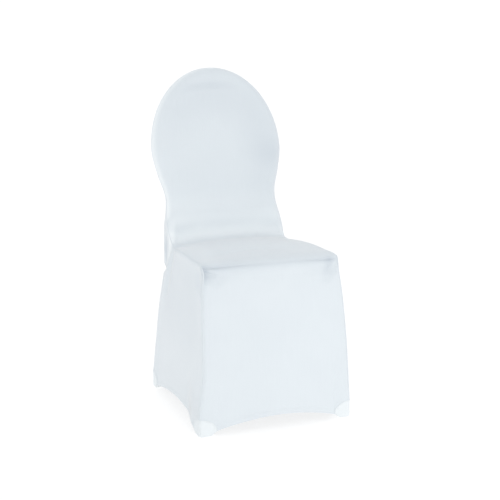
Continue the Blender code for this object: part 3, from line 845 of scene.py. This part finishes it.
def cloth_sheet(name, grid, near):
    """A sheet with its points at the grid, its own map in metres and no thickness yet."""
    rows, columns = grid.shape[:2]
    bpy.ops.object.select_all(action="DESELECT")
    bpy.ops.mesh.primitive_grid_add(x_subdivisions=columns - 1, y_subdivisions=rows - 1, size=1.0)
    piece = bpy.context.active_object
    piece.name = piece.data.name = name
    mesh = piece.data
    mesh.vertices.foreach_set("co", stood(grid).reshape(-1))
    across = travelled(grid, axis=1)
    across = across - across[:, -1:] / 2
    places = np.stack([across, travelled(grid)], axis=2).reshape(-1, 2)
    corners = np.zeros(len(mesh.loops), dtype=int)
    mesh.loops.foreach_get("vertex_index", corners)
    mesh.uv_layers[0].data.foreach_set("uv", places[corners].reshape(-1))
    keep(mesh, "near_seam", near)
    keep(mesh, "painted_light_and_shade", painted_light_and_shade_share(grid))
    mesh.update()
    return piece


# %% The four panels as sheets
PANELS = {}
for title, surface in SURFACES.items():
    shaped = turned_up(surface)
    piece = cloth_sheet(title + "_sheet", shaped, near_seams(shaped))
    thicken(piece, SHEET)
    PANELS[title] = piece
    print(piece.name, len(piece.data.polygons), "faces")

# %% The four pockets as sheets
SAME_PLACE = 0.00002
POCKET_THICK = 0.0016
BAGS = {}
for title, rings in POCKETS.items():
    piece = cloth_sheet("pocket_" + title, rings, np.zeros(rings.shape[:2]))
    lie(piece)
    bpy.ops.object.mode_set(mode="EDIT")
    bpy.ops.mesh.select_all(action="SELECT")
    bpy.ops.mesh.remove_doubles(threshold=SAME_PLACE)
    bpy.ops.mesh.normals_make_consistent(inside=False)
    bpy.ops.object.mode_set(mode="OBJECT")
    thicken(piece, POCKET_THICK)
    BAGS[title] = piece
    print(piece.name, len(piece.data.polygons), "faces")

# %% [markdown]
# ## Seams
#
# Where two panels are sewn together the folded edges inside press a thin ridge
# into the cloth. The photograph shows it as a fine bright line along the seat
# and down the front corner. A ridge could be part of each sheet, but then it
# would be cut in two at the border. A narrow round strip laid along the seam
# closes the border as well, so each seam is a curve with a round profile.


# %% Seam strips
def line_through(name, points):
    """A curve that runs straight from each point of a row to the next."""
    bpy.ops.object.select_all(action="DESELECT")
    bpy.ops.curve.primitive_nurbs_path_add()
    piece = bpy.context.active_object
    piece.name = piece.data.name = name
    piece.data.splines.clear()
    spline = piece.data.splines.new("POLY")
    spline.points.add(len(points) - 1)
    places = np.concatenate([stood(points), np.ones((len(points), 1))], axis=1)
    spline.points.foreach_set("co", places.reshape(-1))
    piece.data.dimensions = "3D"
    return piece


def strip_along(name, points, radius):
    """A thin round strip of cloth along a row of points."""
    piece = line_through(name, points)
    piece.data.bevel_depth = radius
    piece.data.bevel_resolution = 2
    piece.data.use_fill_caps = True
    lie(piece)
    bpy.ops.object.convert(target="MESH")
    piece = bpy.context.active_object
    smooth(piece)
    return piece


def seam_strip(title, seam, count, radius, turn=1):
    """A strip along a seam, or with turn -1 along the same seam on the right."""
    line = bridged(spaced(seam, np.linspace(0, 1, count))) * [turn, 1, 1]
    return strip_along("seam_" + title, line, radius)


FRONT_STRIP = 0.0015
REAR_STRIP = 0.0010
RIM_STRIP = 0.0008
BINDING = 0.0011
SEAM_STRIPS = {}
for side, turn in (("left", 1), ("right", -1)):
    SEAM_STRIPS["front_" + side] = seam_strip("front_" + side, FRONT_SEAM, 260, FRONT_STRIP, turn)
    SEAM_STRIPS["rear_" + side] = seam_strip("rear_" + side, REAR_SEAM, 150, REAR_STRIP, turn)
SEAM_STRIPS["rim"] = seam_strip("rim", WHOLE_RIM, 420, RIM_STRIP)
RIM_STRIPS = {}
for title, rings in POCKETS.items():
    RIM_STRIPS[title] = strip_along("binding_" + title, rings[-1], BINDING)
print("strips:", [piece.name for piece in (*SEAM_STRIPS.values(), *RIM_STRIPS.values())])

# %% [markdown]
# ## Stitches
#
# A row of short stitches holds the turned hem, and another holds each pocket.
# One stitch is modelled from a small sphere that is stretched along the line.
# An Array modifier repeats it and a Curve modifier bends the row along the
# hem. That keeps every stitch the same length however the hem runs.


# %% Rows of stitches
RAIL_STEP = 0.004
STITCH_OUT = 0.0001
POCKET_STITCH = 0.002
POCKET_STITCH_OUT = 0.0002


def stitch_row(name, points, long=0.0026, gap=0.0013, radius=0.00032):
    """One row of stitches along a row of points that lie on the cloth."""
    length = travelled(points)[-1]
    count = int(length / (long + gap))
    rail = line_through(name + "_rail", spaced(points, np.linspace(0, 1, int(length / RAIL_STEP))))
    bpy.ops.object.select_all(action="DESELECT")
    bpy.ops.mesh.primitive_uv_sphere_add(segments=6, ring_count=4, radius=radius)
    piece = bpy.context.active_object
    piece.name = piece.data.name = name
    bpy.ops.object.mode_set(mode="EDIT")
    bpy.ops.mesh.select_all(action="SELECT")
    bpy.ops.transform.rotate(value=math.radians(90), orient_axis="Y", center_override=(0, 0, 0))
    bpy.ops.transform.resize(value=(long / (2 * radius), 1, 1), center_override=(0, 0, 0))
    bpy.ops.transform.translate(value=(long / 2 + gap / 2, 0, 0))
    bpy.ops.object.mode_set(mode="OBJECT")
    row = piece.modifiers.new("Repeat", "ARRAY")
    row.count = count
    row.use_relative_offset = False
    row.use_constant_offset = True
    row.constant_offset_displace = (length / count, 0, 0)
    bend = piece.modifiers.new("Along", "CURVE")
    bend.object = rail
    bend.deform_axis = "POS_X"
    lie(piece)
    bpy.ops.object.modifier_apply(modifier="Repeat")
    bpy.ops.object.modifier_apply(modifier="Along")
    bpy.data.objects.remove(rail, do_unlink=True)
    smooth(piece, 80)
    return piece


STITCHES = {}
for title, surface in SURFACES.items():
    line = row_above(surface, HEM_STITCH, STITCH_OUT)[1:-1]
    STITCHES[title] = stitch_row("hem_stitches_" + title, line)
POCKET_STITCHES = {}
for title, rings in POCKETS.items():
    outer = 2 * wide - 1
    line = rings[-1][:outer] * 0.9 + rings[-3][:outer] * 0.1
    facing = unit((line - rings[-1].mean(axis=0)) * [1, 1, 0])
    line = line - [0, 0, POCKET_STITCH] + facing * POCKET_STITCH_OUT
    POCKET_STITCHES[title] = stitch_row("pocket_stitches_" + title, line)
print("stitch rows:", len(STITCHES) + len(POCKET_STITCHES))

# %% [markdown]
# ## A small class for shader sums
#
# The finishes are sums of waves and noise. Written as nodes by hand they are
# hard to read. This class wraps the output of a node and turns +, - and * into
# Math nodes, so that a pattern is written as one line of Python. Every other
# node is added by one method, which takes its settings first and then the
# values or links of its sockets.


# %% Shader sums
class Value:
    """A number, colour or vector that changes over a surface."""

    def __init__(self, look, socket):
        self.look = look
        self.socket = socket

    def sum(self, operation, *values):
        sockets = dict(enumerate(values))
        return self.look.node("ShaderNodeMath", {"operation": operation}, sockets)

    def __add__(self, other):
        return self.sum("ADD", self, other)

    def __radd__(self, other):
        return self.sum("ADD", other, self)

    def __sub__(self, other):
        return self.sum("SUBTRACT", self, other)

    def __rsub__(self, other):
        return self.sum("SUBTRACT", other, self)

    def __mul__(self, other):
        return self.sum("MULTIPLY", self, other)

    def __rmul__(self, other):
        return self.sum("MULTIPLY", other, self)

    def sine(self):
        return self.sum("SINE", self)

    def size(self):
        return self.sum("ABSOLUTE", self)

    def zigzag(self):
        """0 to 1 and back again for each step of one."""
        return self.sum("PINGPONG", self, 0.5) * 2.0


class Look:
    """One finish: a material, its shader and the nodes that feed it."""

    def __init__(self, name, constants):
        self.material = bpy.data.materials.new(name)
        self.material.use_nodes = True
        self.tree = self.material.node_tree
        self.shader = self.tree.nodes["Principled BSDF"]
        for key, value in constants.items():
            self.shader.inputs[key].default_value = value

    def node(self, kind, settings=None, sockets=None, out=0):
        """Add a node, set it, fill its sockets and give back one output."""
        made = self.tree.nodes.new(kind)
        for key, value in (settings or {}).items():
            setattr(made, key, value)
        for key, value in (sockets or {}).items():
            self.put(made.inputs[key], value)
        return Value(self, made.outputs[out])

    def put(self, socket, value):
        if isinstance(value, Value):
            self.tree.links.new(value.socket, socket)
        else:
            socket.default_value = value

    def parts(self, vector):
        """The x, y and z of a vector."""
        made = self.tree.nodes.new("ShaderNodeSeparateXYZ")
        self.put(made.inputs[0], vector)
        return [Value(self, output) for output in made.outputs]

    def noise(self, vector, scale, detail=2.0):
        settings = {"noise_dimensions": "3D"}
        sockets = {"Vector": vector, "Scale": scale, "Detail": detail}
        return self.node("ShaderNodeTexNoise", settings, sockets)

    def stretched(self, vector, scale):
        sockets = {0: vector, 1: scale}
        return self.node("ShaderNodeVectorMath", {"operation": "MULTIPLY"}, sockets)

    def mix(self, factor, first, second):
        settings = {"data_type": "RGBA", "clamp_factor": True}
        return self.node("ShaderNodeMix", settings, {0: factor, 6: first, 7: second}, out=2)

    def bump(self, height, distance, strength=1.0, below=None):
        sockets = {"Height": height, "Distance": distance, "Strength": strength}
        if below:
            sockets["Normal"] = below
        return self.node("ShaderNodeBump", {}, sockets)


# %% [markdown]
# ## Stretch knit
#
# The cover is a warp knit with elastic thread: white, smooth and a little
# silky, with fine upright wales less than a millimetre apart. Pulled over the
# edges it shows faint streaks along the wales. The colour is a cool white that
# varies by a few parts in a hundred. A flat white would look like plaster, so
# the knit is drawn in the sheet's own map at its true size, with soft gathers
# that show only beside the seams.


# %% Stretch knit
# The whitest and the greyest cloth colours, for painted light and painted shade.
CLOTH_PAINTED_LIGHT = (0.885, 0.920, 0.935, 1.0)
CLOTH_PAINTED_SHADE = (0.600, 0.650, 0.700, 1.0)


def knit_look(name, light, dark, wale, course, sheen, rough):
    """A fine knit in the sheet's own map, in metres."""
    look = Look(
        name,
        {
            "Metallic": 0.0,
            "Sheen Weight": sheen,
            "Sheen Roughness": 0.30,
            "Sheen Tint": (1.0, 1.0, 1.0, 1.0),
            "Specular IOR Level": 0.35,
        },
    )
    lay = look.node("ShaderNodeUVMap", {"uv_map": "UVMap"})
    across, up, _ = look.parts(lay)
    place = look.node("ShaderNodeTexCoord", {}, {}, out=3)
    near = look.node("ShaderNodeAttribute", {"attribute_name": "near_seam"}, {}, out=2)
    painted_light_and_shade = look.node("ShaderNodeAttribute", {"attribute_name": "painted_light_and_shade"}, {}, out=2)

    legs = (across * (2 * math.pi / wale)).sine().size()
    slant = (across * (1 / wale)).zigzag()
    rows = (up * (2 * math.pi / course) + slant * 2.2).sine() * 0.5 + 0.5
    loops = legs * 0.6 + legs * rows * 0.4
    streaks = look.noise(look.stretched(lay, (260.0, 14.0, 1.0)), 1.0, 3.0)
    clouds = look.noise(place, 9.0, 2.0)
    gathers = look.noise(place, 95.0, 1.5)

    # Beside the seams the tone is darker by up to 6 %: painted shade along the seams.
    tone = clouds * 0.45 + streaks * 0.35 + loops * 0.30 - near * 0.06
    # Painted light and shade: the share makes the cloth whiter as painted light and greyer as painted
    # shade.
    knit = look.mix(painted_light_and_shade, look.mix(tone, dark, light), CLOTH_PAINTED_LIGHT)
    look.put(look.shader.inputs["Base Color"], look.mix(painted_light_and_shade * -1.0, knit, CLOTH_PAINTED_SHADE))
    look.put(look.shader.inputs["Roughness"], streaks * 0.10 + (rough - 0.05) - loops * 0.04)
    soft = look.bump((gathers - 0.5) * near + streaks * 0.10, 0.0016)
    look.put(look.shader.inputs["Normal"], look.bump(loops, 0.00010, 0.8, soft))
    return look.material


CLOTH_LIGHT = (0.785, 0.832, 0.858, 1.0)
CLOTH_DARK = (0.715, 0.758, 0.792, 1.0)
cloth_finish = knit_look("stretch_knit", CLOTH_LIGHT, CLOTH_DARK, 0.0010, 0.0008, 1.0, 0.58)

# %% [markdown]
# ## Pocket cloth, seam strips and thread
#
# The pockets are two layers of the same yarn in a closer, firmer knit, so they
# look whiter and duller. The seam strips are the panel's cloth pulled tight
# over a folded edge. The thread is polyester with a fine twist.

# %% Pocket cloth
POCKET_LIGHT = (0.86, 0.895, 0.905, 1.0)
POCKET_DARK = (0.79, 0.83, 0.85, 1.0)
pocket_finish = knit_look("pocket_knit", POCKET_LIGHT, POCKET_DARK, 0.0014, 0.0012, 0.15, 0.68)


# %% Seam strips and thread
def plain_weave_look(name, light, dark, fine, rough):
    """A close finish for narrow strips and threads, on object coordinates."""
    look = Look(name, {"Metallic": 0.0, "Sheen Weight": 0.2, "Sheen Roughness": 0.4})
    place = look.node("ShaderNodeTexCoord", {}, {}, out=3)
    x, y, z = look.parts(place)
    twist = ((x + y) * (math.pi / fine) + z * (2 * math.pi / fine)).sine().size()
    cloud = look.noise(place, 30.0, 2.0)
    tone = twist * 0.45 + cloud * 0.55
    look.put(look.shader.inputs["Base Color"], look.mix(tone, dark, light))
    look.put(look.shader.inputs["Roughness"], cloud * 0.12 + (rough - 0.06))
    look.put(look.shader.inputs["Normal"], look.bump(twist, 0.00008))
    return look.material


strip_finish = plain_weave_look("seam_cloth", CLOTH_LIGHT, CLOTH_DARK, 0.0011, 0.60)
binding_finish = plain_weave_look("binding_cloth", POCKET_LIGHT, POCKET_DARK, 0.0012, 0.66)
thread_finish = plain_weave_look("stitch_thread", POCKET_LIGHT, CLOTH_DARK, 0.0005, 0.50)
print("finishes:", [m.name for m in (cloth_finish, pocket_finish, strip_finish, thread_finish)])

# %% [markdown]
# ## Putting the pieces on the frame
#
# Each sheet stands for one solid of the model, which it hides, and takes its
# finish and its body. The size it was cut to is worked out and printed.
# A stretch cover is cut small: here about 15 % narrower and 8 % shorter than
# it is when worn, which is usual for a knit with this much give.

# %% Dress and size
ACROSS = 1.15
ALONG = 1.08


def dress(piece, finish):
    """Give a piece its finish and its body."""
    piece.data.materials.clear()
    piece.data.materials.append(finish)
    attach(piece, "root")


def cut_size(grid, across=ACROSS, along=ALONG):
    """Flat width, length and area of a panel before it was stretched."""
    wide_worn = float(travelled(grid, axis=1)[:, -1].max())
    long_worn = float(travelled(grid)[-1].max())
    one_way = grid[1:, 1:] - grid[:-1, :-1]
    other_way = grid[1:, :-1] - grid[:-1, 1:]
    area_worn = float(np.linalg.norm(np.cross(one_way, other_way), axis=2).sum()) / 2
    flat = (round(wide_worn / across, 3), round(long_worn / along, 3))
    return flat, round(area_worn / (across * along), 4)


GOES_WITH = {
    "front": ["front_left", "front_right", "rim"],
    "rear": ["rear_left", "rear_right"],
    "side_left": [],
    "side_right": [],
}
NODES = {
    "front": "front_panel",
    "rear": "rear_panel",
    "side_left": "side_panel_left",
    "side_right": "side_panel_right",
}
for title, piece in PANELS.items():
    dress(piece, cloth_finish)
    dress(STITCHES[title], thread_finish)
    strips = [SEAM_STRIPS[key] for key in GOES_WITH[title]]
    for strip in strips:
        dress(strip, strip_finish)
    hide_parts(NODES[title])
    flat, area = cut_size(turned_up(SURFACES[title]))
    rests = [] if title == "front" else ["front_sheet"]
    print(piece.name, "cut to", flat, "m, area", area)
for title, piece in BAGS.items():
    dress(piece, pocket_finish)
    dress(RIM_STRIPS[title], binding_finish)
    dress(POCKET_STITCHES[title], thread_finish)
    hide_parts("foot_pocket_" + title)
    flat, area = cut_size(POCKETS[title], 1.0, 1.0)
    print(piece.name, "cut to", flat, "m, area", area)

# %% [markdown]
# ## Floor, light and camera
#
# The photograph was lit from low on the right in front, with soft light all
# round: the front skirt is brightest, the left side and the seat are greyer.
# A pale floor and a soft sky give the even part. A low lamp in front brightens
# the skirt, and two weak ones on the left draw the rim of the back and the
# fold at the rear corner. The floor glows a little, so that the cover throws
# only a faint shadow. It runs far beyond the frame, or its edge would show as
# a line. The camera stands above the seat, to the left of the middle.

# %% Floor
FLOOR_SIZE = 900.0
FLOOR_GLOW = 0.76
bpy.ops.object.select_all(action="DESELECT")
bpy.ops.mesh.primitive_plane_add(size=FLOOR_SIZE, location=(0, 0, 0))
floor = bpy.context.active_object
floor.name = "floor"
paper = Look("studio_floor", {"Base Color": (0.28, 0.28, 0.28, 1.0), "Roughness": 0.9})
paper.shader.inputs["Emission Color"].default_value = (1.0, 1.0, 1.0, 1.0)
paper.shader.inputs["Emission Strength"].default_value = FLOOR_GLOW
floor.data.materials.append(paper.material)

# %% Lights
SKY_STRENGTH = 0.94
sky = bpy.data.worlds.new("soft_sky")
sky.use_nodes = True
glow = sky.node_tree.nodes["Background"]
glow.inputs["Color"].default_value = (0.96, 0.98, 1.0, 1.0)
glow.inputs["Strength"].default_value = SKY_STRENGTH
bpy.context.scene.world = sky


def lamp(name, place, aim, size, power):
    """A square soft lamp at a place, turned to face a point."""
    bpy.ops.object.light_add(type="AREA", location=place)
    light = bpy.context.active_object
    light.name = name
    light.data.size = size
    light.data.energy = power
    towards = Vector(aim) - Vector(place)
    light.rotation_euler = towards.to_track_quat("-Z", "Y").to_euler()


lamp("front_lamp", (0.55, -1.70, 0.28), (0.0, -0.15, 0.25), 0.8, 3.3)
lamp("left_lamp", (-2.3, -1.2, 1.3), (-0.1, 0.1, 0.7), 0.7, 2.0)
lamp("rim_lamp", (-2.2, 0.9, 1.6), (-0.1, 0.1, 0.6), 0.7, 1.0)

# %% Camera
AZIMUTH = math.radians(-22.656)
ELEVATION = math.radians(12.015)
AIM = Vector((0.0105, -0.0362, 0.4539))
DISTANCE = 3.571
LENS = 89.53
level = math.cos(ELEVATION)
back = Vector((math.sin(AZIMUTH) * level, -math.cos(AZIMUTH) * level, math.sin(ELEVATION)))
bpy.ops.object.camera_add(location=AIM + back * DISTANCE)
camera = bpy.context.active_object
camera.name = "photo_camera"
camera.rotation_euler = (-back).to_track_quat("-Z", "Y").to_euler()
camera.data.lens = LENS
camera.data.sensor_width = 36.0
camera.data.clip_end = 1500.0
bpy.context.scene.camera = camera
bpy.context.scene.view_settings.view_transform = "Standard"
